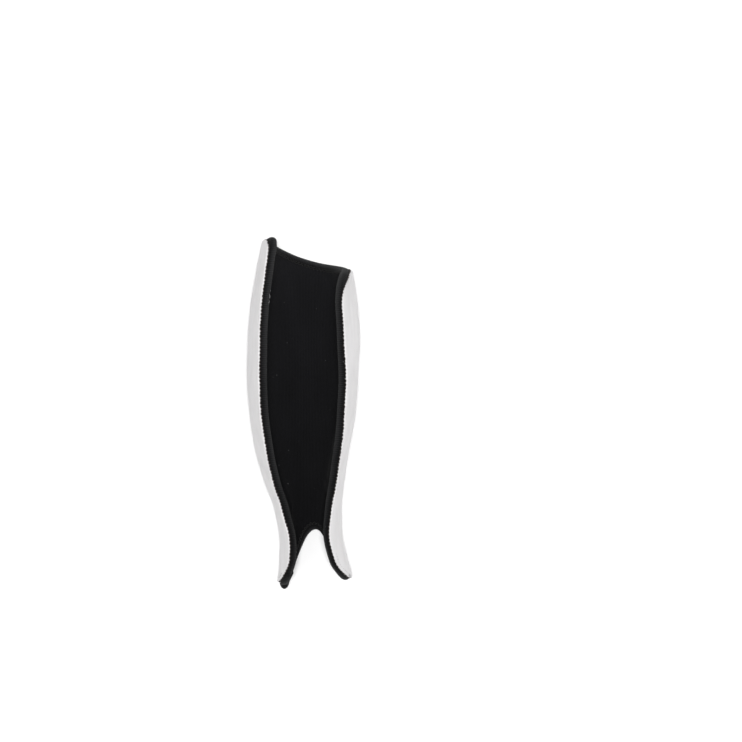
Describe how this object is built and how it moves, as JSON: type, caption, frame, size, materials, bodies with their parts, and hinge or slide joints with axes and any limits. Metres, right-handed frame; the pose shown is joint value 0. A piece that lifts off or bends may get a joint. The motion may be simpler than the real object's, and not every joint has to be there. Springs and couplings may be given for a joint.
{
  "type": "shin guard",
  "caption": "Hard curved shin guard with an open back, a tape-bound padded liner, one knee corner raised and an arched ankle cut-out between two lobes.",
  "frame": {"origin": "on the surface that the guard lies on, under the middle of its bounding box", "axes": "+Z out of the open back, +Y along the leg towards the knee, +X towards the lower knee corner"},
  "size_m": [0.1082, 0.3418, 0.0886],
  "materials": {
    "white_shell": "satin moulded plastic, light grey-white",
    "black_liner": "black fine knit over foam",
    "black_binding": "black ribbed woven tape"
  },
  "bodies": {
    "root": {"outer_shell": "white_shell", "padded_liner": "black_liner", "edge_binding": "black_binding", "binding_end": "black_binding"}
  },
  "joints": []
}
